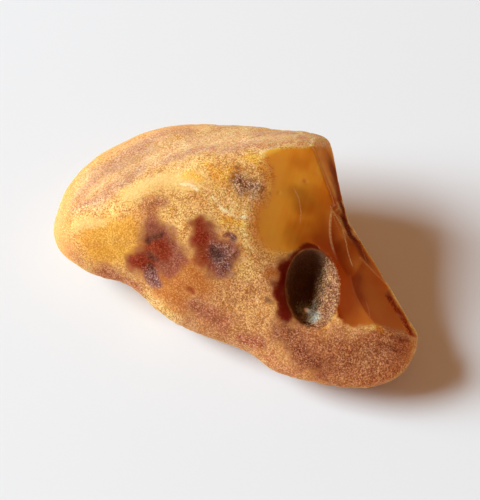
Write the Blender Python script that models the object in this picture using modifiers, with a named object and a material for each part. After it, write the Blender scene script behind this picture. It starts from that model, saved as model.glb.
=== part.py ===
"""A raw lump of cloudy amber: a worn nodule with fresh fracture windows at one end.

Metres, +Z up. The lump lies on its flat underside. +X runs along its length from the blunt tail to the toe,
and the origin is the centre of its bounding box's bottom face.
"""

import math

import bmesh
import bpy
from mathutils import Euler, Matrix, Vector

# Every length below is in millimetres.
MM = 0.001

# Where the finished lump's bounding box has its middle, as the places below are counted.
MIDDLE = (0.6, 3.9, 0)

# The nodule runs together from three blocks. Each is the hull of these corners: the widest rim, the flank below
# it, the underside and the top.
MIDDLE_BLOCK = (
    # Rim, from the tail round by the back.
    (-39, 9, 17), (-30, 21, 19), (-20, 26, 19.5), (-7, 26.5, 19.5), (4.5, 31, 20.5), (10.5, 30.5, 20.5),
    (15.5, 20.5, 19), (19.5, 13.5, 16.5), (14, -20.5, 9), (3, -20.5, 8.5), (-6, -20, 9), (-15.5, -17.5, 10),
    (-25, -13, 14),
    # Flank.
    (-36, 8, 9), (-29, 18, 9), (-19, 23.5, 9), (-6, 25, 9), (5, 27.5, 9), (10, 27, 9), (14, 18, 7),
    (13, -17, 4), (3, -17.5, 4), (-5.5, -16, 4), (-15, -14, 5),
    # Underside.
    (-24, 2, 0), (-22, 12, 0), (-6, 20, 0), (8, 21, 0), (13, 12, -1), (10, -13, -1), (-5, -13, -1), (-16, -8, 0),
    # Top, along the ridge and then down the smooth side.
    (-26, -7, 27), (-14, 3, 30.5), (-7, 9, 32), (1, 16.5, 32), (10, 21.5, 31), (19, 10, 27.5), (6, -3, 25.5),
    (-8, -8, 26),
)
TAIL_BLOCK = (
    # Rim.
    (-41, -8, 13), (-42, 2, 15), (-38.5, 12, 17), (-29, 20, 18), (-38, -13, 13), (-29, -16, 11), (-20, -14.5, 12),
    # Flank.
    (-39.5, -7, 7), (-40, 2, 8), (-36, 11, 8), (-35, -9.5, 7), (-28, -11, 6), (-19, -9.5, 5),
    # Underside.
    (-32, -7, 1), (-32, 6, 1), (-12, -6, 1), (-12, 10, 1),
    # Top.
    (-34, -10, 22), (-33, 2, 23), (-22, -7, 28), (-12, 4, 29), (-20, 14, 24),
)
TOE_BLOCK = (
    # Rim.
    (20, 13.5, 15), (27.5, 8, 12.5), (34.5, -1, 12), (43.5, -6, 10.5), (42.5, -15, 9), (36, -21, 8),
    (24, -23.5, 8), (12, -23, 8),
    # Flank.
    (19, 10, 6), (27, 4, 5), (35, -2, 5), (42, -6, 6), (40, -11.5, 5), (34, -17, 4), (24, -20, 4), (13, -19, 4),
    # Underside.
    (12, 8, -1), (26, 0, -1), (35, -8, 0), (33, -14, -1), (16, -15, -1),
    # Top.
    (20, 8, 27), (9, 2, 25.5), (6, -10, 21), (22, -15, 18.5), (38, -11, 14.5), (39, -6, 14.5), (25, 3.5, 22.5),
)

# How finely the rough nodule is meshed and how far its corners are rounded off, then the same for the finished
# skin, and the share of the skin's faces that is kept.
NODULE_CELL = 1.2
NODULE_WEAR = 26
SKIN_CELL = 1.0
SKIN_WEAR = 10
SKIN_KEPT = 0.34

# Low lumps all over the nodule.
LUMP_SIZE = 7
LUMP_HEIGHT = 1.0

# Fracture windows: middle, the way each faces, the way its length runs, half width and half length, and how far
# its bowl has risen above its middle at those distances. The old one is worn with the skin, and the fresh ones
# keep their edges.
OLD_WINDOWS = {
    "smooth_window": ((17, 5.5, 23), (0.17, -0.36, 0.92), (-0.34, 0.94, 0.35), (18, 26), (3.6, 2.4)),
}
FRESH_WINDOWS = {
    "steep_window": ((17.3, 9.6, 24.3), (0.745, 0.49, 0.45), (-0.43, 0.785, 0), (14, 24), (1.4, 4.4)),
    "toe_window": ((28.5, -0.5, 16.6), (0.62, 0.03, 0.785), (0.3, -0.9, -0.2), (14, 16), (0.8, 7.1)),
    "lens_chip": ((19, 5.8, 22.2), (0.555, -0.15, 0.82), (0.36, -0.9, -0.4), (6, 10), (1.2, 1.9)),
}
WINDOW_CELL = 2.5
WINDOW_DEPTH = 15

# Holes: middle, half sizes, and turn about Z, pitch about Y, roll about X in degrees.
HOLLOWS = {
    "pit": ((18.4, -7, 18.6), (5.2, 8, 6.5), (20, 0, 22)),
}

# The lump rests on a flat worn across its underside.
FLAT_SIZE = (80, 60, 10)

HONEY = (0.72, 0.36, 0.08, 1)
GLOSS = 0.35


def clear_scene():
    for obj in list(bpy.data.objects):
        bpy.data.objects.remove(obj, do_unlink=True)


def new_collection(name):
    collection = bpy.data.collections.new(name)
    bpy.context.scene.collection.children.link(collection)
    return collection


def amber():
    material = bpy.data.materials.new("cloudy_amber")
    material.use_nodes = True
    shader = material.node_tree.nodes["Principled BSDF"]
    shader.inputs["Base Color"].default_value = HONEY
    shader.inputs["Roughness"].default_value = GLOSS
    shader.inputs["Metallic"].default_value = 0
    return material


def placed(place):
    return (Vector(place) - Vector(MIDDLE)) * MM


def turned(degrees):
    turn, pitch, roll = (math.radians(angle) for angle in degrees)
    return Euler((roll, pitch, turn), "XYZ").to_matrix().to_4x4()


def link_mesh(name, bm, collection):
    bmesh.ops.recalc_face_normals(bm, faces=bm.faces)
    mesh = bpy.data.meshes.new(name)
    bm.to_mesh(mesh)
    bm.free()
    mesh.shade_smooth()
    mesh.set_sharp_from_angle(angle=math.radians(35))
    obj = bpy.data.objects.new(name, mesh)
    collection.objects.link(obj)
    return obj


def make_block(name, corners, collection):
    bm = bmesh.new()
    made = [bm.verts.new(placed(corner)) for corner in corners]
    hull = bmesh.ops.convex_hull(bm, input=made)
    spare = [item for item in hull["geom_interior"] if isinstance(item, bmesh.types.BMVert)]
    bmesh.ops.delete(bm, geom=spare, context="VERTS")
    return link_mesh(name, bm, collection)


def make_window(name, place, facing, along, half_sizes, rises, collection):
    """A thick shallow bowl, whose hollow side is the fracture that it leaves."""
    bm = bmesh.new()
    cells = [round(2 * half / WINDOW_CELL) for half in half_sizes]
    bmesh.ops.create_grid(bm, x_segments=cells[0], y_segments=cells[1], size=1)
    for vert in bm.verts:
        side, end = vert.co.x, vert.co.y
        rise = rises[0] * side**2 + rises[1] * end**2
        vert.co = Vector((side * half_sizes[0], end * half_sizes[1], rise)) * MM
    lifted = bmesh.ops.extrude_face_region(bm, geom=bm.faces[:])["geom"]
    moved = [item for item in lifted if isinstance(item, bmesh.types.BMVert)]
    bmesh.ops.translate(bm, verts=moved, vec=(0, 0, WINDOW_DEPTH * MM))
    obj = link_mesh(name, bm, collection)
    out = Vector(facing).normalized()
    across = Vector(along).cross(out).normalized()
    axes = Matrix((across, out.cross(across), out)).transposed().to_4x4()
    obj.matrix_world = Matrix.Translation(placed(place)) @ axes
    return obj


def make_hollow(name, place, half_sizes, degrees, collection):
    bm = bmesh.new()
    bmesh.ops.create_icosphere(bm, subdivisions=4, radius=MM)
    obj = link_mesh(name, bm, collection)
    obj.matrix_world = Matrix.Translation(placed(place)) @ turned(degrees) @ Matrix.Diagonal((*half_sizes, 1))
    return obj


def make_flat(collection):
    """A block whose top face is the level that the lump rests at."""
    bm = bmesh.new()
    bmesh.ops.create_cube(bm, size=MM)
    obj = link_mesh("resting_flat", bm, collection)
    obj.matrix_world = Matrix.Translation((0, 0, -FLAT_SIZE[2] / 2 * MM)) @ Matrix.Diagonal((*FLAT_SIZE, 1))
    return obj


def add_boolean(obj, other, operation):
    other.hide_render = True
    other.display_type = "WIRE"
    modifier = obj.modifiers.new(other.name, "BOOLEAN")
    modifier.operation = operation
    modifier.solver = "EXACT"
    modifier.object = other


def add_skin(obj, name, cell, wear):
    skin = obj.modifiers.new(f"{name}_skin", "REMESH")
    skin.mode = "VOXEL"
    skin.voxel_size = cell * MM
    skin.use_smooth_shade = True
    smooth = obj.modifiers.new(f"{name}_wear", "SMOOTH")
    smooth.factor = 0.5
    smooth.iterations = wear


def add_lumps(obj):
    swelling = bpy.data.textures.new("swelling", "CLOUDS")
    swelling.noise_scale = LUMP_SIZE * MM
    swelling.noise_depth = 0
    lumps = obj.modifiers.new("lumps", "DISPLACE")
    lumps.texture = swelling
    lumps.strength = LUMP_HEIGHT * MM


def make_lump(parts, cutters):
    lump = make_block("amber_lump", MIDDLE_BLOCK, parts)
    lump.data.materials.append(amber())
    for name, corners in (("tail_block", TAIL_BLOCK), ("toe_block", TOE_BLOCK)):
        add_boolean(lump, make_block(name, corners, cutters), "UNION")
    add_skin(lump, "nodule", NODULE_CELL, NODULE_WEAR)
    add_lumps(lump)
    for name, values in OLD_WINDOWS.items():
        add_boolean(lump, make_window(name, *values, cutters), "DIFFERENCE")
    add_skin(lump, "worn", SKIN_CELL, SKIN_WEAR)
    lump.modifiers.new("thinned", "DECIMATE").ratio = SKIN_KEPT
    for name, values in FRESH_WINDOWS.items():
        add_boolean(lump, make_window(name, *values, cutters), "DIFFERENCE")
    for name, values in HOLLOWS.items():
        add_boolean(lump, make_hollow(name, *values, cutters), "DIFFERENCE")
    add_boolean(lump, make_flat(cutters), "DIFFERENCE")
    return lump


clear_scene()
make_lump(new_collection("raw_amber"), new_collection("raw_amber_cutters"))
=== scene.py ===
import math

import bpy
import numpy as np
from mathutils import Euler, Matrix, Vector, noise
from mathutils.bvhtree import BVHTree


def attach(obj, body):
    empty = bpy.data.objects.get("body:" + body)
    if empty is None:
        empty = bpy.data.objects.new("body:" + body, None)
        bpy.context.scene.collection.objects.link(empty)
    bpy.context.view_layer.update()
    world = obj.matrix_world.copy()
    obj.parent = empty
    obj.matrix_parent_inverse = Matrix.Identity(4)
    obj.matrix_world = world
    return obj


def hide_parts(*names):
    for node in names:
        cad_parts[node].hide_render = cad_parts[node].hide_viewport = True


mm = 0.001

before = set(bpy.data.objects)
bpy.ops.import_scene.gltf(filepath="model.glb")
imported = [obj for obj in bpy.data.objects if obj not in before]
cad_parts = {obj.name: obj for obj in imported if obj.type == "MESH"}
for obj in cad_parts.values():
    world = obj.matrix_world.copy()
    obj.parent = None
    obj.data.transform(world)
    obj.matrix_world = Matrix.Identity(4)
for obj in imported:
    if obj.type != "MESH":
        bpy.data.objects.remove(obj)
bpy.context.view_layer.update()
solid = BVHTree.FromObject(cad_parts["amber_lump"], bpy.context.evaluated_depsgraph_get())

studio = {
    "view": (20, 55),           # camera azimuth and elevation, degrees
    "aim": (-0.6, -3.9, 14),
    "away": 444,
    "lens": 150,
    "sensor": 36,
    "clip": (0.01, 20),         # metres
    "shot": (480, 500),         # the camera's frame, whose pixels place the markings below
    "pixel": 0.213,             # millimetres of the lump to a pixel of the shot
    "lamp": (1.7, 3.0, 32, 4),  # side and distance in metres, elevation, turn behind the camera's left
    "lampPower": 168,
    "lampColour": (0.73, 0.9, 1.0),
    "fill": (0.3, 0.14, 0.056),  # warm light from all round and above
    "horizon": 0.8,
    "horizonEnds": (0.12, 0.3),  # the heights between which its grey gives way to the fill
    "floor": 0.86,
    "floorSide": 6,             # metres
    "floorRoughness": 0.9,
    "floorShine": 0.2,
}


def cameraAxes():
    azimuth, elevation = (math.radians(angle) for angle in studio["view"])
    back = Vector((math.sin(azimuth) * math.cos(elevation), -math.cos(azimuth) * math.cos(elevation),
                   math.sin(elevation)))
    right = Vector((math.cos(azimuth), math.sin(azimuth), 0))
    return right, back.cross(right), back


def pixelSize():
    # of the shot, a millimetre in front of the lens
    return studio["sensor"] / studio["lens"] / studio["shot"][1]


def placeOf(spot):
    # a place in millimetres stays; a pixel of the shot becomes the place on the lump that it shows
    if len(spot) == 3:
        return np.array(spot, float)
    right, up, back = cameraAxes()
    width, height = studio["shot"]
    perPixel = pixelSize()
    eye = (Vector(studio["aim"]) + back * studio["away"]) * mm
    ray = right * (spot[0] - width / 2) * perPixel + up * (height / 2 - spot[1]) * perPixel - back
    hit = solid.ray_cast(eye, ray)[0]
    if hit is None:
        raise ValueError(f"{spot} isn't on the lump")
    return np.array(hit) / mm


def shotOf(points):
    # the pixel of the shot that each point lands on
    right, up, back = (np.array(axis) for axis in cameraAxes())
    width, height = studio["shot"]
    toward = points - np.array(studio["aim"])
    size = (studio["away"] - toward @ back) * pixelSize()
    return width / 2 + toward @ right / size, height / 2 - toward @ up / size


# Each fracture window is a shallow bowl: its middle, the way it faces, the way its length runs, half width
# and half length, how far the bowl has risen there, and the stretch of its length that it takes up.
windows = {
    "smooth": {"place": (16.4, 1.6, 23), "facing": (0.17, -0.36, 0.92), "along": (-0.34, 0.94, 0.35),
               "half": (18, 26), "rises": (3.6, 2.4), "ends": (-26, 26)},
    "steep": {"place": (17.43, 6.18, 24.74), "facing": (0.783, 0.467, 0.411), "along": (-0.43, 0.785, 0),
              "half": (14, 24), "rises": (-1.0, 1.57), "ends": (0.4, 24)},
    "flank": {"place": (16.7, 5.7, 24.3), "facing": (0.745, 0.49, 0.45), "along": (-0.43, 0.785, 0),
              "half": (14, 24), "rises": (1.4, 4.4), "ends": (-24, 0.6)},
    "toe": {"place": (27.9, -4.4, 16.6), "facing": (0.62, 0.03, 0.785), "along": (0.3, -0.9, -0.2),
            "half": (14, 16), "rises": (0.8, 7.1), "ends": (-16, 16)},
    "lens": {"place": (18.4, 1.9, 22.2), "facing": (0.555, -0.15, 0.82), "along": (0.36, -0.9, -0.4),
             "half": (6, 10), "rises": (1.2, 1.9), "ends": (-10, 10)},
}
asCut = [{**windows["flank"], "ends": (-24, 24)}, windows["toe"], windows["lens"]]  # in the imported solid
freshWindows = ("steep", "flank", "toe", "lens")

# Around the glassy windows, in pixels of the shot.
glassOutline = [
    (264, 149), (290, 148), (314, 147), (322, 147), (345, 148), (360, 158), (367, 176), (358, 188),
    (352, 200), (338, 203), (340, 219), (344, 236), (359, 243), (376, 262), (390, 288), (384, 294),
    (396, 312), (409, 333), (395, 329), (385, 327), (370, 326), (352, 327), (344, 324), (338, 317),
    (335, 303), (331, 284), (327, 270), (322, 259), (315, 251), (307, 249), (296, 251), (284, 254),
    (273, 251), (264, 245), (258, 236), (256, 222), (258, 210), (265, 202), (270, 192), (272, 180),
    (271, 168), (266, 161),
]

# How the crust gives way to glass.
glassEdge = {
    "furthest": 3,             # the distance inside or outside the glass isn't counted past this
    "facing": 0.5,             # how far a point must face as the bowl does
    "off": (0.6, 4),           # how far off the bowl the glass ends, and how steeply
    "pitWall": 1.03,           # none inside this share of the pit's half sizes
}

# Edges between two windows: how pale each is, worn and with a painted highlight along the crest, and the row
# of the shot where that has died away.
ridges = {("smooth", "steep"): (1.0, 300), ("lens", "steep"): (0.5, 236), ("lens", "flank"): (0.9, 246),
          ("smooth", "lens"): (0.7, 262), ("toe", "flank"): (0.4, 400), ("smooth", "toe"): (0.1, 400)}

ridgeEdge = {
    "near": 0.3,               # how near a bowl a point lies to be on its edge
    "wide": 1,                 # how far from the edge its paleness is counted
    "fading": 25,              # rows over which its paleness dies away
}

# Shares below are of the pit's half sizes, so that its wall is at 1.
pit = {
    "place": (17.8, -10.9, 18.6), "half": (5.2, 8, 6.5), "turn": (20, 0, 22),
    "slope": (-0.2, 0.8),      # from its dark side to its slope at the lower right
    "lean": 0.45,              # how far the slope turns from right to down
    "within": 1.15,            # the slope ends at this share
    "filled": 0.7,             # how much of its depth the slope takes up
    "around": (1.08, 1.4),     # the ring whose middle is the level of its mouth
    "mouth": (1.0, 1.12),      # where its lining's relief fades out
    # its dark colour reaches past the mouth, painting shade over the lit edge there
    "lining": (1.02, 1.14),    # and its colour
}

skin = {
    "cell": 0.36,              # how far apart its points are
    "softening": (26, 0.5),    # rounds that take the solid's facets out of it, and how far each goes
    "laying": (4, 0.4),        # the same for those that lay the windows back on their bowls
    "resting": 0.08,           # points below this height stay where they are
    "near": 2,                 # how near a bowl's surface the bowl counts at all
    "held": 0.3,               # how near a fresh window's bowl a point is held to it
    "facing": 0.35,            # and how far it must face the same way
    "drawn": 1.8,              # how far below its bowl a held point can be drawn from
    "settled": (0.45, 1.3),    # how near the old window's bowl a point lies wholly and just on it
    "turned": (0.6, 0.85),     # how far it must face the same way for that
    "outside": 14,             # and how many pixels outside the glass it ends
}
farBelow = -9                  # the height over a bowl where it doesn't reach
seedApart = 17.3               # keeps one noise clear of the next

relief = {                     # size and height of each grade
    "lumps": (7.0, 0.22),
    "knobs": (2.6, 0.16),
    "grain": (0.95, 0.07),
    "grooves": (2.6, 0.14),    # along the back of the ridge
    "ribs": (3.1, 0.035),      # down the windows
    "crumbs": (1.3, 0.3),      # on the red flank under the windows
    "pitLining": (1.5, 0.3),
    "crustStep": (0.14, 2.9),  # how far the crust stands over the windows, and how far out from them
    "crustEdge": (-0.5, 0.1),  # distances from the glass between which the crust's relief grows
    "crumbEdge": (0.3, 0.7),   # how thick the crumbs are where they start to stand out, and do wholly
    "calm": 0.75,              # how much of the relief smooth patches lose
    "groovesRun": ((100, 190), (180, 148)),   # from one to the other pixel of the shot
    "groovesFace": (0.2, -0.1, 1),
    "groovesDrawn": (7, 2.2),  # how far they are drawn out along the ridge and upright
    "ribsDrawn": 9,            # and the ribs down the window
    "ribsBend": 0.012,
    "footFade": (0.05, 1.5),   # all of it dies away between these heights
}

dents = {                      # place, reach, and depth, or height if below 0
    "ridgeHollow": ((250, 186), 2.6, 0.35),
    "glossyBead": ((228, 177), 1.5, -0.3),
    "firstStain": ((152, 262), 3.2, 0.45),
    "firstStainHigh": ((149, 239), 1.2, 0.35),
    "secondStain": ((218, 254), 3.0, 0.4),
    "pitLedge": ((309, 316), 2.6, -2.0),
    "windowNick": ((306, 181), 0.7, 0.25),
    "windowNickLow": ((279, 193), 0.6, 0.2),
    "backHollow": ((-14, 20, 19), 5, 0.8),
    "backHollowSmall": ((4, 24.5, 20), 2.4, 0.5),
    "tailHollow": ((-37, 4, 17), 3, 0.4),
}


def unit(vector):
    vector = np.array(vector, float)
    return vector / np.linalg.norm(vector)


def smoothStep(low, high, value):
    t = np.clip((value - low) / (high - low), 0, 1)
    return t * t * (3 - 2 * t)


def windowPlane(window, points):
    # side, end and height over the bowl, and the way it faces
    out = unit(window["facing"])
    across = unit(np.cross(window["along"], out))
    lengthwise = np.cross(out, across)
    local = points - np.array(window["place"])
    side, end = local @ across, local @ lengthwise
    halfWidth, halfLength = window["half"]
    rise = window["rises"][0] * (side / halfWidth) ** 2 + window["rises"][1] * (end / halfLength) ** 2
    return side, end, local @ out - rise, out


def insideOutline(outline, across, down):
    # pixels to an outline, positive inside
    corners = np.array(outline, float)
    spots = np.stack([across, down], 1)
    nearest = np.full(len(spots), 1e9)
    inside = np.zeros(len(spots), bool)
    for start, stop in zip(corners, np.roll(corners, -1, 0)):
        run = stop - start
        along = np.clip((spots - start) @ run / (run @ run), 0, 1)
        nearest = np.minimum(nearest, np.linalg.norm(spots - start - along[:, None] * run, axis=1))
        crosses = (start[1] > spots[:, 1]) != (stop[1] > spots[:, 1])
        at = start[0] + (spots[:, 1] - start[1]) * run[0] / (run[1] if run[1] else 1e-9)
        inside ^= crosses & (spots[:, 0] < at)
    return np.where(inside, nearest, -nearest)


def noiseAt(points, size, seed, octaves):
    # smooth noise, about -1 to 1, the same each run
    total = np.zeros(len(points))
    for octave in range(octaves):
        scaled = (points * 2**octave / size + seed * seedApart).tolist()
        total += np.fromiter((noise.noise(spot) for spot in scaled), float, len(scaled)) / 2**octave
    return total


def pitLocal(points):
    # place in the pit, whose wall is 1 from its middle, once it is turned and rolled
    turn, pitch, roll = (math.radians(angle) for angle in pit["turn"])
    axes = np.array(Euler((roll, pitch, turn), "XYZ").to_matrix())
    return (points - np.array(pit["place"])) @ axes / np.array(pit["half"])


def fineMesh(node):
    rough = bpy.data.objects.new("rough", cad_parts[node].data.copy())
    bpy.context.scene.collection.objects.link(rough)
    remesh = rough.modifiers.new("fine", "REMESH")
    remesh.mode = "VOXEL"
    remesh.voxel_size = skin["cell"] * mm
    remesh.use_smooth_shade = True
    graph = bpy.context.evaluated_depsgraph_get()
    mesh = bpy.data.meshes.new_from_object(rough.evaluated_get(graph))
    bpy.data.objects.remove(rough)
    mesh.name = "rawAmberLump"
    return mesh


def meshPoints(mesh):
    points = np.empty(len(mesh.vertices) * 3, np.float32)
    mesh.vertices.foreach_get("co", points)
    return points.reshape(-1, 3).astype(float) / mm


def setPoints(mesh, points):
    mesh.vertices.foreach_set("co", (points * mm).astype(np.float32).ravel())
    mesh.update()


def meshNormals(mesh):
    normals = np.empty(len(mesh.vertices) * 3, np.float32)
    mesh.vertex_normals.foreach_get("vector", normals)
    return normals.reshape(-1, 3).astype(float)


def meshEdges(mesh):
    edges = np.empty(len(mesh.edges) * 2, np.int32)
    mesh.edges.foreach_get("vertices", edges)
    return edges.reshape(-1, 2)


def neighbourMean(values, edges):
    count = np.bincount(edges.ravel(), minlength=len(values))
    total = np.zeros_like(values)
    for column in range(values.shape[1]):
        total[:, column] = (np.bincount(edges[:, 0], values[edges[:, 1], column], len(values))
                            + np.bincount(edges[:, 1], values[edges[:, 0], column], len(values)))
    return total / np.maximum(count, 1)[:, None]


def bowlHeights(points, normals, bowls):
    # height over each bowl, far below where it doesn't reach
    heights, outs = [], []
    for bowl in bowls:
        side, end, height, out = windowPlane(bowl, points)
        reached = (np.abs(side) < bowl["half"][0]) & (end > bowl["ends"][0]) & (end < bowl["ends"][1])
        reached &= (normals @ out > skin["facing"]) & (np.abs(height) < skin["near"])
        heights.append(np.where(reached, height, farBelow))
        outs.append(out)
    return np.array(heights), np.array(outs)


def layOnWindows(points, normals, which):
    # moves the chosen points onto the highest bowl near them, and any that stand above a fresh one
    for _ in range(skin["laying"][0]):
        heights, outs = bowlHeights(points, normals, [windows[name] for name in freshWindows + ("smooth",)])
        heights[-1][~which] = farBelow
        height = heights.max(0)
        move = np.where((height > 0) | (which & (height > -skin["drawn"])), height, 0)
        points = points - move[:, None] * outs[heights.argmax(0)]
    return points


def settle(points, normals, edges):
    # takes out the facets, and lays the windows back on their bowls
    held = np.abs(bowlHeights(points, normals, asCut)[0].max(0)) < skin["held"]
    low = points[:, 2] < skin["resting"]
    rounds, share = skin["softening"]
    for _ in range(rounds):
        moved = points + share * (neighbourMean(points, edges) - points)
        points = np.where((held | low)[:, None], points, moved)
    rounds, share = skin["laying"]
    for _ in range(rounds):
        moved = points + share * (neighbourMean(points, edges) - points)
        points = layOnWindows(np.where(held[:, None], moved, points), normals, held)
    _, _, height, out = windowPlane(windows["smooth"], points)
    onIt = 1 - smoothStep(*skin["settled"], np.abs(height))
    onIt *= smoothStep(*skin["turned"], normals @ out)
    onIt *= smoothStep(-skin["outside"], 0, insideOutline(glassOutline, *shotOf(points)))
    onIt[held] = 0
    return points - (height * onIt)[:, None] * out, held


def ridgeFields(points):
    # which side of the nearest edge between two windows, and how pale that edge is
    near, wide, fading = ridgeEdge["near"], ridgeEdge["wide"], ridgeEdge["fading"]
    side = np.full(len(points), 2.0 * wide)
    pale = np.zeros(len(points))
    heights = {}
    row = shotOf(points)[1]
    for name, window in windows.items():
        _, end, height, _ = windowPlane(window, points)
        heights[name] = np.where((end > window["ends"][0]) & (end < window["ends"][1]), height, farBelow)
    for (first, second), (worn, last) in ridges.items():
        higher = np.maximum(heights[first], heights[second])
        apart = heights[first] - heights[second]
        nearer = (np.abs(higher) < near) & (np.abs(apart) < np.abs(side))
        side = np.where(nearer, apart, side)
        here = worn * (1 - smoothStep(last - fading, last, row))
        pale = np.where(nearer & (np.abs(apart) < wide), here, pale)
    return side, pale


def glossField(points, normals, held):
    # millimetres inside the glassy windows, negative on the crust
    far = glassEdge["furthest"]
    off, steepness = glassEdge["off"]
    onBowl = np.full(len(points), -float(far))
    for name, window in windows.items():
        _, _, height, out = windowPlane(window, points)
        close = np.where(normals @ out > glassEdge["facing"], steepness * (off - np.abs(height)), -far)
        if name in freshWindows:
            close = np.where(held, close, -far)
        onBowl = np.maximum(onBowl, close)
    inside = insideOutline(glassOutline, *shotOf(points)) * studio["pixel"]
    wall = np.linalg.norm(pitLocal(points), axis=1)
    return np.clip(np.where(wall < glassEdge["pitWall"], -far, np.minimum(inside, onBowl)), -far, far)


def streakNoise(points):
    # drawn out along the ridge
    start, stop = (placeOf(spot) for spot in relief["groovesRun"])
    along = unit(stop - start)
    across = unit(np.cross(along, relief["groovesFace"]))
    drawnAlong, drawnUp = relief["groovesDrawn"]
    laid = np.stack([points @ across, points @ along / drawnAlong, points[:, 2] / drawnUp], 1)
    return noiseAt(laid, relief["grooves"][0], 4, 3)


def slopePit(points, normals):
    # draws the lower right side of the pit up towards its mouth, and tells where
    local = pitLocal(points)
    wall = np.linalg.norm(local, axis=1)
    inner, outer = pit["around"]
    rim = (wall > inner) & (wall < outer)
    out = unit(normals[rim].mean(0))
    depth = np.maximum((points[rim].mean(0) - points) @ out, 0)
    slope = smoothStep(*pit["slope"], local[:, 0] - pit["lean"] * local[:, 1]) * (wall < pit["within"])
    return points + (pit["filled"] * slope * depth)[:, None] * out, slope


def raiseRelief(points, normals, gloss, fields):
    rough = smoothStep(*relief["crustEdge"], -gloss)
    inPit = 1 - smoothStep(*pit["mouth"], np.linalg.norm(pitLocal(points), axis=1))
    outer = rough * (1 - inPit)
    calm = 1 - relief["calm"] * np.clip(fields["smoothPatch"], 0, 1)
    high = np.zeros(len(points))
    for seed, (name, octaves) in enumerate((("lumps", 1), ("knobs", 2), ("grain", 1)), 1):
        size, height = relief[name]
        high += outer * calm * height * noiseAt(points, size, seed, octaves)
    high += outer * fields["banding"] * relief["grooves"][1] * fields["streaks"]
    size, height = relief["crumbs"]
    high += smoothStep(*relief["crumbEdge"], fields["crumbs"]) * height * noiseAt(points, size, 5, 2)
    size, height = relief["pitLining"]
    high += inPit * height * noiseAt(points, size, 6, 2)
    step, reach = relief["crustStep"]
    high += outer * step * (gloss > -reach)
    size, height = relief["ribs"]
    side, end, _, _ = windowPlane(windows["smooth"], points)
    ribs = np.stack([side + relief["ribsBend"] * end**2, end / relief["ribsDrawn"], np.zeros(len(end))], 1)
    high += (1 - rough) * height * noiseAt(ribs, size, 7, 2)
    for place, reach, depth in dents.values():
        away = np.linalg.norm(points - placeOf(place), axis=1)
        high -= depth * (1 - smoothStep(0, reach, away))
    high *= smoothStep(*relief["footFade"], points[:, 2])
    moved = points + high[:, None] * normals
    moved[:, 2] = np.maximum(moved[:, 2], 0)
    return moved


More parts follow.
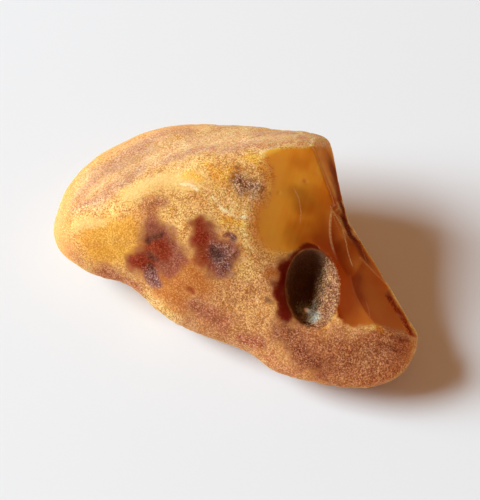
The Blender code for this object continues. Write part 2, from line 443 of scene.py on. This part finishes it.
# Markings are strokes: the reach at which a stroke is half gone, then the spots that it runs through. A spot
# is a pixel of the shot, or a place in millimetres on the sides that the shot doesn't show.
strokes = {
    "banding": [
        (6, (-33, -3, 22), (-28, 1, 23), (-22, 6, 25), (-15, 11, 26), (-8, 13, 29), (-1, 16, 29),
         (6, 20, 27)),
        (6, (-30, 10, 19), (-18, 19, 20), (-4, 24, 21)),
    ],
    "brownCrust": [
        (5, (225, 300), (255, 292), (264, 280)), (5, (235, 325), (270, 330)), (3, (200, 318), (225, 328)),
    ],
    "bandStreak": [
        (1.9, (98, 169), (130, 154), (157, 136), (188, 130)), (1.6, (76, 201), (97, 177), (118, 166)),
        (1.7, (74, 209), (97, 201), (119, 185), (141, 169)), (1.4, (168, 160), (190, 152), (214, 147)),
        (1.6, (228, 148), (262, 144)), (1.6, (258, 134), (290, 133)),
    ],
    "toe": [
        (5, (305, 345), (330, 350), (370, 350), (396, 345)), (6, (310, 352), (340, 370), (380, 370)),
        (7, (30, -23, 6), (38, -16, 5)), (6, (18, -22, 5)),
    ],
    "toeDark": [
        (1.5, (198, 309), (207, 313), (216, 318)), (2.6, (287, 332), (296, 350), (314, 364)),
        (0.5, (378, 346), (402, 349)), (1.2, (240, 338), (262, 343)), (0.7, (396, 338), (408, 341)),
    ],
    # painted shade along the underside, where the lump turns down away from the lamp
    "under": [
        (1.6, (68, 250), (78, 260)), (2.4, (335, 377), (362, 379), (386, 372)),
        (3.2, (104, 276), (134, 288), (160, 306), (190, 326), (222, 340), (254, 354), (290, 374)),
    ],
    "pale": [
        (3.5, (205, 190), (228, 200)), (3, (160, 206), (175, 216)), (3, (240, 232), (254, 244)),
        (3, (236, 202), (256, 208)), (3, (180, 203), (196, 207)), (2.6, (206, 212), (214, 218)),
        (2.6, (236, 256), (246, 266)), (2.2, (322, 318), (335, 328)), (3, (110, 222), (84, 224)),
        (4, (-12, -21, 12)), (3, (252, 158), (262, 175), (266, 198)),
    ],
    "honey": [(3.2, (92, 238), (110, 232), (128, 232)), (3.0, (98, 250), (126, 250))],
    "gold": [
        (1.0, (188, 173), (198, 178)), (2.0, (222, 176), (232, 176)), (0.7, (205, 165), (216, 170)),
        (1.2, (226, 220), (238, 222)), (1.0, (371, 328), (380, 327)), (0.8, (318, 318), (322, 326)),
        (0.8, (246, 156), (262, 166), (268, 176)), (0.7, (268, 186), (270, 200)),
    ],
    "wax": [
        (2.2, (184, 266), (198, 276), (204, 288)), (2.6, (166, 278), (188, 284)),
        (2.4, (160, 290), (178, 300)), (0.8, (267, 272), (274, 275), (280, 275)),
    ],
    "cream": [
        (2.7, (130, 194), (145, 188), (160, 182), (178, 178), (192, 180)), (1.3, (76, 226), (100, 222)),
    ],
    # a pale vein, and painted highlights on the cream ridge and on the glossy bead
    "veinsAndHighlights": [
        (0.3, (181, 183), (190, 185), (197, 189)), (0.4, (226, 174), (228, 175)),
        (0.3, (214, 198), (222, 208), (236, 217), (252, 218)),
    ],
    "rim": [
        (4.5, (-37.5, -15.5, 14), (-40, -12, 15), (-41, -5, 15), (-41, 3, 15), (-38, 9, 16), (-33, 15, 17),
         (-27, 19, 18), (-20, 21, 20)),
        (2.5, (-12, 22.5, 21), (-3, 25, 21)),
    ],
    "smear": [
        (1.6, (142, 199), (150, 206), (159, 202)), (1.7, (150, 210), (152, 224)),
        (2.3, (192, 308), (207, 313), (221, 321)), (1.2, (239, 336), (261, 342)),
        (1.9, (104, 272), (118, 278), (134, 287)), (0.5, (197, 179), (201, 182)),
    ],
    "mauve": [
        (2.6, (152, 232), (160, 236), (170, 246), (175, 255), (168, 264)),
        (2.6, (140, 263), (152, 259), (164, 264)), (2.0, (150, 268), (154, 279)),
        (1.6, (131, 261), (138, 265)), (3.0, (206, 236), (216, 247), (226, 254)),
        (2.2, (212, 266), (224, 266)), (0.5, (229, 235), (233, 239)),
    ],
    "lilac": [(1.5, (151, 274), (155, 282)), (1.9, (217, 254), (226, 264)), (0.5, (232, 237), (235, 241))],
    "red": [
        (1.9, (150, 247), (161, 245), (161, 254)), (2.2, (136, 263), (147, 266)),
        (2.0, (200, 228), (201, 242), (203, 258)), (1.2, (283, 313), (279, 293), (281, 274), (286, 262)),
        (0.5, (190, 290), (194, 292)), (0.6, (235, 166), (237, 168)),
    ],
    "dark": [
        (0.65, (148, 241), (152, 237), (160, 235)), (0.6, (150, 256), (156, 259)),
        (0.6, (149, 266), (152, 270)), (0.8, (213, 251), (219, 257)), (0.6, (267, 299), (271, 302)),
        (1.4, (239, 180), (241, 187)), (0.4, (236, 166), (238, 168)),
    ],
    "speckled": [(2.0, (243, 183), (256, 190)), (0.7, (240, 176), (243, 180))],
    "pitRim": [
        (1.9, (286, 312), (283, 292), (285, 275), (290, 262)), (0.9, (289, 260), (296, 252), (306, 247)),
        (0.6, (306, 247), (318, 250), (328, 261), (334, 274)),
    ],
    "pitGrey": [(1.6, (306, 310), (309, 321))],
    # a painted highlight on the pit's grey bottom
    "paintedGlint": [(0.55, (308, 313), (309, 314))],
    "paleGlass": [(2.4, (270, 156), (272, 190), (264, 218), (268, 244)), (1.5, (320, 170), (328, 190))],
    "deepRed": [(3.4, (338, 262), (347, 280), (344, 308)), (1.7, (320, 238), (334, 250))],
    "warmGlass": [(2.8, (362, 268), (366, 284), (376, 302)), (2, (337, 216), (341, 234))],
    "shadeGlass": [
        (3.4, (335, 174), (338, 186), (339, 202)), (2.6, (342, 210), (350, 226), (354, 240), (362, 254)),
    ],
    "crumbs": [
        (2.8, (339, 205), (344, 221), (351, 236), (359, 244)), (1.5, (389, 296), (400, 313), (411, 332)),
    ],
    "glassFade": [
        (1.7, (260, 156), (270, 176), (264, 200), (257, 212), (256, 226), (262, 244), (272, 252)),
    ],
    # painted shade on the right part of the window, away from the lamp
    "brownGlassShade": [(2.6, (304, 198), (318, 210), (322, 222), (300, 240))],
}
smoothPatches = ("honey", "wax", "cream", "rim", "veinsAndHighlights")

wear = {
    "wander": (3.0, 0.9),      # size and reach of the wandering of the markings' edges
    "smooth": (0.3, 0.6),      # where a patch starts to be smooth, and is
    # painted shade: the crust darkens towards the floor
    "shadedFoot": (1, 6, 2),         # heights between which the dull foot fades out, and how much they wander
    "bare": 0.3,               # crumbs thicker than this stand free of the window's bowl
    "around": 3,               # rounds of blurring that a knob is compared with
    "proud": 8,                # how sharply it counts as standing out
}

# Fine pale lines across the windows, scratches and painted highlights along crests: how pale, then the spots
# that each runs through.
scratchesAndHighlights = [
    (0.4, (293, 187), (299, 198), (301, 212), (300, 224)),
    (0.7, (342, 226), (346, 241), (348, 252), (353, 267)),
    (0.45, (359, 241), (363, 250), (367, 262)), (0.5, (305, 177), (306, 183)), (0.4, (276, 195), (282, 192)),
    (0.4, (366, 300), (369, 310), (370, 318)), (0.3, (318, 245), (321, 252)), (0.4, (351, 233), (356, 238)),
]
# the ends and widths below are of the scratches and the painted highlight lines alike
scratchAndHighlightFades = (-0.8, 0.1)     # from inside a scratch's end to just past it
scratchAndHighlightWidth = (0.6, 1)        # how far beside it its paleness starts to fade, and has


def alongStroke(points, spots):
    # distance from a run of spots
    away = np.full(len(points), 1e9)
    for start, stop in zip(spots, spots[1:] or spots):
        run = stop - start
        share = np.clip((points - start) @ run / max(run @ run, 1e-9), 0, 1)
        away = np.minimum(away, np.linalg.norm(points - start - share[:, None] * run, axis=1))
    return away


def strokeField(points, drawn):
    # 1 in the middle of a stroke, a half at its reach and 0 at twice that
    best = np.zeros(len(points))
    for reach, *spots in drawn:
        away = alongStroke(points, [placeOf(spot) for spot in spots])
        best = np.maximum(best, 1 - away / (2 * reach))
    return best


def scratchAndHighlightFields(points, normals):
    # distance to one side or the other of the nearest pale line, scratch and painted highlight alike, and
    # how pale it is there
    nearest = np.full(len(points), 2.0 * scratchAndHighlightWidth[1])
    side = nearest.copy()
    near = np.zeros(len(points))
    for pale, *line in scratchesAndHighlights:
        spots = [placeOf(spot) for spot in line]
        lead = (spots[0] - points) @ unit(spots[1] - spots[0])
        trail = (points - spots[-1]) @ unit(spots[-1] - spots[-2])
        within = 1 - smoothStep(*scratchAndHighlightFades, np.maximum(lead, trail))
        for start, stop in zip(spots, spots[1:]):
            away = alongStroke(points, [start, stop])
            over = np.sum(np.cross(stop - start, normals) * (points - start), 1)
            closer = away < nearest
            nearest = np.where(closer, away, nearest)
            side = np.where(closer, away * np.sign(over), side)
            near = np.where(closer, pale * within * (1 - smoothStep(*scratchAndHighlightWidth, away)), near)
    return side, near


def storeField(mesh, name, values):
    attribute = mesh.attributes.new(name, "FLOAT", "POINT")
    attribute.data.foreach_set("value", values.astype(np.float32))


def markingFields(points):
    size, reach = wear["wander"]
    wander = reach * np.stack([noiseAt(points, size, seed, 2) for seed in (21, 22, 23)], 1)
    fields = {}
    for name, drawn in strokes.items():
        # a fine marking's edge wanders less than a broad one's
        fields[name] = strokeField(points + wander * min(1, drawn[0][0]), drawn)
    fields["smoothPatch"] = smoothStep(*wear["smooth"], np.max([fields[name] for name in smoothPatches], 0))
    low, high, share = wear["shadedFoot"]
    fields["shadedFoot"] = 1 - smoothStep(low, high, points[:, 2] + wander[:, 0] * share)
    fields["streaks"] = streakNoise(points)
    return fields


def standingProud(points, normals, edges):
    # how far each point stands out from those around it: knobs come out a little lighter, hollows a little
    # darker
    around = points
    for _ in range(wear["around"]):
        around = neighbourMean(around, edges)
    return np.clip(np.sum((points - around) * normals, 1) * wear["proud"], -1, 1)


def makeLump():
    mesh = fineMesh("amber_lump")
    edges = meshEdges(mesh)
    points = meshPoints(mesh)
    points, held = settle(points, meshNormals(mesh), edges)
    setPoints(mesh, points)
    normals = meshNormals(mesh)
    print(f"fine skin: {len(points)} points")

    gloss = glossField(points, normals, held)
    fields = markingFields(points)
    points, fields["pitTan"] = slopePit(points, normals)
    setPoints(mesh, points)
    normals = meshNormals(mesh)
    print(f"markings: {len(strokes)} kinds")

    shaped = raiseRelief(points, normals, gloss, fields)
    shaped = layOnWindows(shaped, normals, held & (fields["crumbs"] < wear["bare"]))
    setPoints(mesh, shaped)
    print("relief raised")

    normals = meshNormals(mesh)
    fields["proud"] = standingProud(shaped, normals, edges)
    fields["gloss"] = gloss
    fields["inPit"] = 1 - smoothStep(*pit["lining"], np.linalg.norm(pitLocal(shaped), axis=1))
    fields["ridgeSide"], fields["ridgePale"] = ridgeFields(shaped)
    fields["scratchAndHighlightSide"], fields["scratchAndHighlightNear"] = scratchAndHighlightFields(shaped, normals)
    for name, values in fields.items():
        storeField(mesh, name, values)
    lump = bpy.data.objects.new("rawAmberLump", mesh)
    bpy.context.scene.collection.objects.link(lump)
    return lump


def tone(red, green, blue):
    # a screen colour, 0 to 255, as the light that it stands for
    shares = [value / 255 for value in (red, green, blue)]
    light = [share / 12.92 if share < 0.04045 else ((share + 0.055) / 1.055) ** 2.4 for share in shares]
    return (*light, 1)


class Sheet:
    # short calls that add nodes to a material

    def __init__(self, material):
        self.tree = material.node_tree

    def node(self, kind, **settings):
        made = self.tree.nodes.new(kind)
        for name, value in settings.items():
            setattr(made, name, value)
        return made

    def link(self, source, socket):
        if isinstance(source, bpy.types.NodeSocket):
            self.tree.links.new(source, socket)
        else:
            socket.default_value = source

    def math(self, operation, first, second=0.0, third=0.0):
        made = self.node("ShaderNodeMath", operation=operation)
        for socket, source in zip(made.inputs, (first, second, third)):
            self.link(source, socket)
        return made.outputs[0]

    def field(self, name):
        return self.node("ShaderNodeAttribute", attribute_name=name).outputs["Fac"]

    def scaled(self, coords, stretch=(1, 1, 1)):
        mapping = self.node("ShaderNodeMapping")
        self.link(coords, mapping.inputs["Vector"])
        mapping.inputs["Scale"].default_value = [axis / mm for axis in stretch]
        return mapping.outputs[0]

    def noise(self, coords, perMm, detail, roughness, stretch=(1, 1, 1)):
        made = self.node("ShaderNodeTexNoise")
        self.link(self.scaled(coords, stretch), made.inputs["Vector"])
        made.inputs["Scale"].default_value = perMm
        made.inputs["Detail"].default_value = detail
        made.inputs["Roughness"].default_value = roughness
        return made.outputs[0]

    def cells(self, coords, perMm):
        made = self.node("ShaderNodeTexVoronoi")
        self.link(self.scaled(coords), made.inputs["Vector"])
        made.inputs["Scale"].default_value = perMm
        return made.outputs["Distance"]

    def step(self, source, low, high, start=0.0, stop=1.0):
        made = self.node("ShaderNodeMapRange", interpolation_type="SMOOTHSTEP")
        for name, value in (("Value", source), ("From Min", low), ("From Max", high),
                            ("To Min", start), ("To Max", stop)):
            self.link(value, made.inputs[name])
        return made.outputs["Result"]

    def ramp(self, source, stops):
        made = self.node("ShaderNodeValToRGB")
        elements = made.color_ramp.elements
        for element, (at, colour) in zip(elements, (stops[0], stops[-1])):
            element.position = at
            element.color = colour
        for at, colour in stops[1:-1]:
            elements.new(at).color = colour
        self.link(source, made.inputs[0])
        return made.outputs["Color"]

    def mix(self, factor, first, second):
        made = self.node("ShaderNodeMix", data_type="RGBA")
        self.link(factor, made.inputs[0])
        self.link(first, made.inputs[6])
        self.link(second, made.inputs[7])
        return made.outputs[2]


pattern = {
    "grain": (2.3, 4.6),         # coarse and fine grains to a millimetre
    "mixture": (0.55, 0.45),     # their shares
    "granules": (0.45, 0.22),    # the level that granules are counted from, and their strength
    "patches": (0.35, 0.25),     # patches to a millimetre, and how much they lighten or darken
    "ragged": 1.2,               # how much they push markings' edges about
    "there": (0.02, 0.35),       # a marking's field where it starts to show at all, and may wholly
    "proud": 0.02,               # how much knobs are lightened
    "clouds": 0.13,              # to a millimetre
}

# A surface's tones are those of its gaps, its middle and its grains. After a marking's tones come the
# softness and raggedness of its edge, and its strength.
crust = {
    "stops": (0.35, 0.5, 0.65),  # where the gaps end, the middle tone is, and the grain tops start
    "plain": ((180, 120, 64), (226, 166, 94), (252, 214, 142)),
    "layers": {
        "banding": ((192, 132, 86), (228, 174, 116), (248, 208, 150), 0.3, 0.3, 1),
        "bandStreak": ((154, 98, 74), (194, 136, 102), (228, 180, 136), 0.5, 0.9, 0.8),
        "brownCrust": ((152, 90, 53), (197, 134, 82), (233, 180, 117), 0.45, 0.4, 0.9),
        # painted shade along the underside
        "under": ((134, 80, 56), (180, 120, 82), (216, 160, 112), 0.5, 0.5, 0.8),
        # painted shade towards the floor
        "shadedFoot": ((130, 72, 46), (176, 110, 70), (210, 146, 96), 0.5, 0.4, 0.75),
        "pale": ((196, 134, 70), (240, 188, 110), (255, 230, 162), 0.35, 0.5, 0.8),
        "toe": ((136, 74, 47), (186, 118, 76), (232, 174, 120), 0.3, 0.5, 1),
        "toeDark": ((92, 38, 24), (134, 72, 46), (190, 122, 84), 0.3, 0.6, 0.8),
        "honey": ((204, 138, 48), (222, 160, 62), (240, 186, 92), 0.35, 0.3, 0.9),
        "wax": ((172, 92, 38), (186, 108, 48), (212, 142, 80), 0.4, 0.3, 0.9),
        "rim": ((214, 140, 78), (224, 152, 86), (236, 170, 106), 0.45, 0.1, 0.85),
        "smear": ((134, 66, 46), (174, 102, 72), (222, 160, 112), 0.35, 0.7, 0.85),
        "cream": ((226, 178, 106), (234, 190, 118), (244, 206, 138), 0.35, 0.25, 1),
        # pale veins, and the painted highlights on the ridge and the bead
        "veinsAndHighlights": ((240, 204, 150), (248, 220, 170), (255, 234, 196), 0.35, 0.7, 0.85),
        "gold": ((206, 130, 28), (238, 172, 50), (255, 210, 98), 0.35, 0.5, 0.65),
        "mauve": ((122, 58, 46), (150, 80, 62), (178, 106, 84), 0.24, 0.35, 0.92),
        "red": ((116, 30, 15), (142, 46, 23), (172, 76, 44), 0.35, 0.4, 0.9),
        "lilac": ((84, 46, 46), (126, 80, 74), (196, 156, 138), 0.35, 0.6, 0.9),
        "dark": ((44, 24, 16), (76, 42, 30), (128, 86, 64), 0.4, 0.8, 0.7),
        "speckled": ((96, 54, 44), (184, 130, 98), (250, 222, 180), 0.35, 0.5, 0.9),
    },
    "streak": ((156, 100, 78), 0.3),   # along the ridge's back, and its strength
    "streakEdge": (0.0, 0.6, 1.2),     # where a streak starts, is whole, and how ragged it is
    "streakReach": (0.3, 0.1),         # softness and raggedness of the part with streaks
    "crumbs": ((86, 28, 10), (126, 50, 22), (180, 92, 48), 0.3, 0.5),
    "crumbShade": ((70, 20, 6), 0.9),  # under the steep window
}

pitLining = {
    "wall": ((88, 52, 33), (96, 60, 39), (108, 72, 50)),
    "pitTan": ((106, 60, 38), (160, 104, 72), (216, 162, 116), 0.5, 0.9, 0.95),
    "pitGrey": ((140, 130, 104), (174, 163, 134), (212, 200, 174), 0.3, 0.3, 0.95),
    "pitRim": ((96, 16, 6), 0.3, 0.3, 0.95),
    "rimFades": (0.3, 0.9),      # how far into the lining the rim starts to fade, and has
    # a painted highlight: its colour, then where its field starts and is whole
    "paintedGlint": ((240, 240, 236), 0.3, 0.6),
}

glass = {
    "reach": 34,                 # millimetres from the first of its tones to the last
    "stops": (0, 0.3, 0.5, 0.68, 1),
    # the glass's own honey to red-brown, partly painted light: lighter where lit on the left, darker in
    # shade on the right
    "body": ((246, 178, 58), (214, 120, 22), (182, 86, 14), (168, 76, 14), (200, 108, 34)),  # left to right
    "drift": 14,                 # how far slow clouds push the tones about
    "wisps": (0.4, 6, (1.6, 0.35, 0.35)),   # to a millimetre, how far they push them, and their stretch
    "clouds": {                  # colour, softness and strength
        "paleGlass": ((236, 172, 66), 0.45, 0.7),
        "warmGlass": ((210, 126, 50), 0.45, 0.75),
        "deepRed": ((138, 46, 4), 0.45, 0.8),
        "shadeGlass": ((112, 42, 6), 0.45, 0.9),
        # painted shade on the window's right part
        "brownGlassShade": ((150, 68, 10), 0.45, 0.6),
    },
    "cloudEdge": 0.5,            # how much the clouds' edges drift
    # pale edges and scratches below, partly wear and partly painted highlights along the crests
    "worn": (232, 190, 136),
    "ridgeLine": (0.05, 0.22),   # half widths of a worn edge's middle and of the whole
    "scratchAndHighlightLine": (0.06, 0.2),
    "wornGrain": (0.35, 0.6, 0.35, 0.85),   # two grain values, and how worn the edges are at each
    "edgeRagged": 2.0,           # how ragged the crust's edge is on it
    "edge": (-0.25, 0.35),       # millimetres inside it where the glass starts, and is whole
    "edgeFade": (-2.4, 1.6),     # how much further where it fades
}

finish = {
    "crust": (0.75, 0.5),        # roughness of the gaps and of the grains
    "glass": (0.42, 0.52),       # and of the glass, from cloud to cloud
    "span": (0.3, 0.7),          # the grain or cloud values that it runs between
    "waxy": 0.15,                # how much smoother the waxy and red patches are
    "redReach": (0.3, 0.2),
    "bumpHeight": 0.12,
    "bump": (0.65, 0.45, 0.06),  # strength on the crust, how much less on smooth patches, share on glass
    "clear": (0.03, 0.12),       # transmission all over, and what the glass adds in the light
    "ior": 1.54,
    "specular": 0,
    "scatter": 0.7,
    "scatterRadius": (1.0, 0.35, 0.1),   # red goes furthest
    "scatterReach": 14,
    "passed": (0.95, 0.75, 0.15),        # the light that the volume lets through
    "density": 150,                      # to a metre
}


class AmberSheet(Sheet):
    # the patterns and markings that the lump's colours share

    def __init__(self, material):
        super().__init__(material)
        self.coords = self.node("ShaderNodeTexCoord").outputs["Object"]
        coarse, fine = pattern["grain"]
        self.grain = self.noise(self.coords, coarse, 2, 0.6)
        speck = self.noise(self.coords, fine, 1, 0.5)
        patchSize, patchTint = pattern["patches"]
        patch = self.math("SUBTRACT", self.noise(self.coords, patchSize, 3, 0.6), 0.5)
        coarseShare, fineShare = pattern["mixture"]
        fineGrit = self.math("MULTIPLY", speck, fineShare)
        grit = self.math("ADD", self.math("MULTIPLY", self.grain, coarseShare), fineGrit)
        level, strength = pattern["granules"]
        granules = self.math("SUBTRACT", level, self.cells(self.coords, coarse))
        grit = self.math("MULTIPLY_ADD", granules, strength, grit)
        self.edge = self.math("SUBTRACT", self.math("MULTIPLY_ADD", patch, pattern["ragged"], grit), 0.5)
        grit = self.math("MULTIPLY_ADD", patch, patchTint, grit)
        self.grit = self.math("MULTIPLY_ADD", self.field("proud"), pattern["proud"], grit)
        self.cloud = self.noise(self.coords, pattern["clouds"], 2, 0.5)
        self.drift = self.math("SUBTRACT", self.cloud, 0.5)

    def grains(self, tones):
        return self.ramp(self.grit, [(at, tone(*colour)) for at, colour in zip(crust["stops"], tones)])

    def reach(self, name, soft, ragged):
        # a marking's edge, ragged only where its field is there at all
        field = self.field(name)
        value = self.math("MULTIPLY_ADD", self.edge, ragged * 2, field)
        there = self.step(field, *pattern["there"])
        return self.math("MULTIPLY", self.step(value, 0.5 - soft, 0.5 + soft), there)

    def layer(self, under, name, tones, soft, ragged, strength):
        factor = self.math("MULTIPLY", self.reach(name, soft, ragged), strength)
        return self.mix(factor, under, self.grains(tones))

    def line(self, side, pale, middle, whole):
        # a fine pale line where a side field passes 0
        value = self.step(self.math("ABSOLUTE", self.field(side)), middle, whole, 1, 0)
        return self.math("MULTIPLY", value, self.field(pale))


def crustColour(sheet):
    colour = sheet.grains(crust["plain"])
    for name, (*tones, soft, ragged, strength) in crust["layers"].items():
        colour = sheet.layer(colour, name, tones, soft, ragged, strength)
        if name == "banding":
            colour = ridgeStreaks(sheet, colour)
    *tones, soft, ragged = crust["crumbs"]
    shade, strong = crust["crumbShade"]
    strong = sheet.math("MULTIPLY", sheet.field("shadeGlass"), strong)
    crumbs = sheet.mix(strong, sheet.grains(tones), tone(*shade))
    return sheet.mix(sheet.reach("crumbs", soft, ragged), colour, crumbs)


def ridgeStreaks(sheet, colour):
    shade, strong = crust["streak"]
    start, whole, ragged = crust["streakEdge"]
    streak = sheet.step(sheet.math("MULTIPLY_ADD", sheet.edge, ragged, sheet.field("streaks")), start, whole)
    streak = sheet.math("MULTIPLY", streak, sheet.reach("banding", *crust["streakReach"]))
    return sheet.mix(sheet.math("MULTIPLY", streak, strong), colour, tone(*shade))


def glassColour(sheet):
    # honey on the left to red-brown on the right, partly painted light and shade, with clouds, worn edges
    # and scratches, these pale lines partly painted highlights
    place = sheet.node("ShaderNodeSeparateXYZ")
    sheet.link(sheet.coords, place.inputs[0])
    across = sheet.math("DIVIDE", place.outputs["X"], mm)
    across = sheet.math("MULTIPLY_ADD", sheet.drift, glass["drift"], across)
    wispSize, wispDrift, stretch = glass["wisps"]
    wisps = sheet.math("SUBTRACT", sheet.noise(sheet.coords, wispSize, 2, 0.5, stretch), 0.5)
    across = sheet.math("MULTIPLY_ADD", wisps, wispDrift, across)
    stops = [(at, tone(*shade)) for at, shade in zip(glass["stops"], glass["body"])]
    body = sheet.ramp(sheet.step(across, 0, glass["reach"]), stops)
    for name, (shade, soft, strength) in glass["clouds"].items():
        value = sheet.math("MULTIPLY_ADD", sheet.drift, glass["cloudEdge"], sheet.field(name))
        factor = sheet.math("MULTIPLY", sheet.step(value, 0.5 - soft, 0.5 + soft), strength)
        body = sheet.mix(factor, body, tone(*shade))
    ridge = sheet.line("ridgeSide", "ridgePale", *glass["ridgeLine"])
    scratchAndHighlight = sheet.line("scratchAndHighlightSide", "scratchAndHighlightNear", *glass["scratchAndHighlightLine"])
    worn = sheet.math("MAXIMUM", ridge, scratchAndHighlight)
    worn = sheet.math("MULTIPLY", worn, sheet.step(sheet.grain, *glass["wornGrain"]))
    return sheet.mix(worn, body, tone(*glass["worn"]))


def glassShare(sheet):
    # the crust thins out into the windows on their left and stops short elsewhere
    fade = sheet.field("glassFade")
    start, whole = glass["edge"]
    startFade, wholeFade = glass["edgeFade"]
    inside = sheet.math("MULTIPLY_ADD", sheet.edge, glass["edgeRagged"], sheet.field("gloss"))
    return sheet.step(inside, sheet.math("MULTIPLY_ADD", fade, startFade, start),
                      sheet.math("MULTIPLY_ADD", fade, wholeFade, whole))


def pitColour(sheet, colour):
    # a dark wall that also paints shade over the lit edge of its mouth, its lit side and grey bottom, a
    # translucent red rim, then a painted highlight
    inPit = sheet.field("inPit")
    colour = sheet.mix(inPit, colour, sheet.grains(pitLining["wall"]))
    for name in ("pitTan", "pitGrey"):
        *tones, soft, ragged, strength = pitLining[name]
        colour = sheet.layer(colour, name, tones, soft, ragged, strength)
    rim, soft, ragged, strength = pitLining["pitRim"]
    outside = sheet.step(inPit, *pitLining["rimFades"], strength, 0)
    share = sheet.math("MULTIPLY", sheet.reach("pitRim", soft, ragged), outside)
    colour = sheet.mix(share, colour, tone(*rim))
    paintedGlint, start, whole = pitLining["paintedGlint"]
    return sheet.mix(sheet.step(sheet.field("paintedGlint"), start, whole), colour, tone(*paintedGlint))


def surfaceRoughness(sheet, isGlass):
    # glassy windows, waxy patches, dry crust
    waxy = sheet.math("MAXIMUM", sheet.field("smoothPatch"), sheet.reach("red", *finish["redReach"]))
    rough = sheet.step(sheet.grit, *finish["span"], *finish["crust"])
    rough = sheet.math("SUBTRACT", rough, sheet.math("MULTIPLY", waxy, finish["waxy"]))
    roughness = sheet.node("ShaderNodeMix", data_type="FLOAT")
    sheet.link(isGlass, roughness.inputs[0])
    sheet.link(rough, roughness.inputs[2])
    sheet.link(sheet.step(sheet.cloud, *finish["span"], *finish["glass"]), roughness.inputs[3])
    return roughness.outputs[0]


def grainBump(sheet, isGlass):
    strength, smoothed, onGlass = finish["bump"]
    bump = sheet.node("ShaderNodeBump")
    bump.inputs["Distance"].default_value = finish["bumpHeight"] * mm
    depth = sheet.math("SUBTRACT", strength, sheet.math("MULTIPLY", sheet.field("smoothPatch"), smoothed))
    depth = sheet.math("MULTIPLY", depth, sheet.step(isGlass, 0, 1, 1, onGlass))
    sheet.link(depth, bump.inputs["Strength"])
    sheet.link(sheet.grit, bump.inputs["Height"])
    return bump.outputs[0]


def amberMaterial():
    material = bpy.data.materials.new("cloudyAmber")
    material.use_nodes = True
    sheet = AmberSheet(material)
    shader = material.node_tree.nodes["Principled BSDF"]
    isGlass = glassShare(sheet)
    colour = sheet.mix(isGlass, crustColour(sheet), glassColour(sheet))
    sheet.link(pitColour(sheet, colour), shader.inputs["Base Color"])
    sheet.link(surfaceRoughness(sheet, isGlass), shader.inputs["Roughness"])
    sheet.link(grainBump(sheet, isGlass), shader.inputs["Normal"])

    everywhere, added = finish["clear"]
    lit = sheet.math("MULTIPLY", isGlass, sheet.math("SUBTRACT", 1, sheet.field("shadeGlass")))
    clear = sheet.math("MULTIPLY_ADD", lit, added, everywhere)
    sheet.link(clear, shader.inputs["Transmission Weight"])
    shader.inputs["IOR"].default_value = finish["ior"]
    shader.inputs["Specular IOR Level"].default_value = finish["specular"]
    shader.inputs["Subsurface Weight"].default_value = finish["scatter"]
    shader.inputs["Subsurface Radius"].default_value = finish["scatterRadius"]
    shader.inputs["Subsurface Scale"].default_value = finish["scatterReach"] * mm

    absorb = sheet.node("ShaderNodeVolumeAbsorption")
    absorb.inputs["Color"].default_value = (*finish["passed"], 1)
    absorb.inputs["Density"].default_value = finish["density"]
    sheet.link(absorb.outputs[0], material.node_tree.nodes["Material Output"].inputs["Volume"])
    return material


def grey(level):
    return (level, level, level, 1)


def lookAlong(obj, place, aim):
    obj.location = place
    obj.rotation_euler = (Vector(aim) - Vector(place)).to_track_quat("-Z", "Y").to_euler()


def makeWorld():
    # dim and warm above, pale at the horizon
    world = bpy.data.worlds.new("studio")
    world.use_nodes = True
    sheet = Sheet(world)
    background = world.node_tree.nodes["Background"]
    toward = sheet.node("ShaderNodeSeparateXYZ")
    sheet.link(sheet.node("ShaderNodeTexCoord").outputs["Generated"], toward.inputs[0])
    upward = sheet.step(toward.outputs["Z"], *studio["horizonEnds"])
    sheet.link(sheet.mix(upward, grey(studio["horizon"]), (*studio["fill"], 1)), background.inputs["Color"])
    bpy.context.scene.world = world


def makeCamera(aim):
    camera = bpy.data.objects.new("camera", bpy.data.cameras.new("camera"))
    camera.data.lens = studio["lens"]
    camera.data.sensor_width = studio["sensor"]
    camera.data.clip_start, camera.data.clip_end = studio["clip"]
    lookAlong(camera, aim + cameraAxes()[2] * studio["away"] * mm, aim)
    bpy.context.scene.collection.objects.link(camera)
    bpy.context.scene.camera = camera


def makeLamp(aim):
    side, away, up, turn = studio["lamp"]
    right = cameraAxes()[0]
    lamp = bpy.data.lights.new("window", "AREA")
    lamp.shape = "SQUARE"
    lamp.size = side
    lamp.energy = studio["lampPower"]
    lamp.color = studio["lampColour"]
    window = bpy.data.objects.new("window", lamp)
    heading = math.pi + math.atan2(right.y, right.x) - math.radians(turn)
    level = math.cos(math.radians(up))
    toward = Vector((math.cos(heading) * level, math.sin(heading) * level, math.sin(math.radians(up))))
    lookAlong(window, aim + toward * away, aim)
    bpy.context.scene.collection.objects.link(window)


def makeFloor():
    bpy.ops.mesh.primitive_plane_add(size=studio["floorSide"])
    floor = bpy.context.object
    floor.name = "floor"
    paper = bpy.data.materials.new("paper")
    paper.use_nodes = True
    shader = paper.node_tree.nodes["Principled BSDF"]
    shader.inputs["Base Color"].default_value = grey(studio["floor"])
    shader.inputs["Roughness"].default_value = studio["floorRoughness"]
    shader.inputs["Specular IOR Level"].default_value = studio["floorShine"]
    floor.data.materials.append(paper)


def makeStudio():
    aim = Vector(studio["aim"]) * mm
    makeCamera(aim)
    makeLamp(aim)
    makeWorld()
    makeFloor()
    bpy.context.scene.view_settings.view_transform = "Standard"


lump = makeLump()
lump.data.materials.clear()
lump.data.materials.append(amberMaterial())
print("amber finished")
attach(lump, "root")
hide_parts("amber_lump")
makeStudio()
print("studio set")
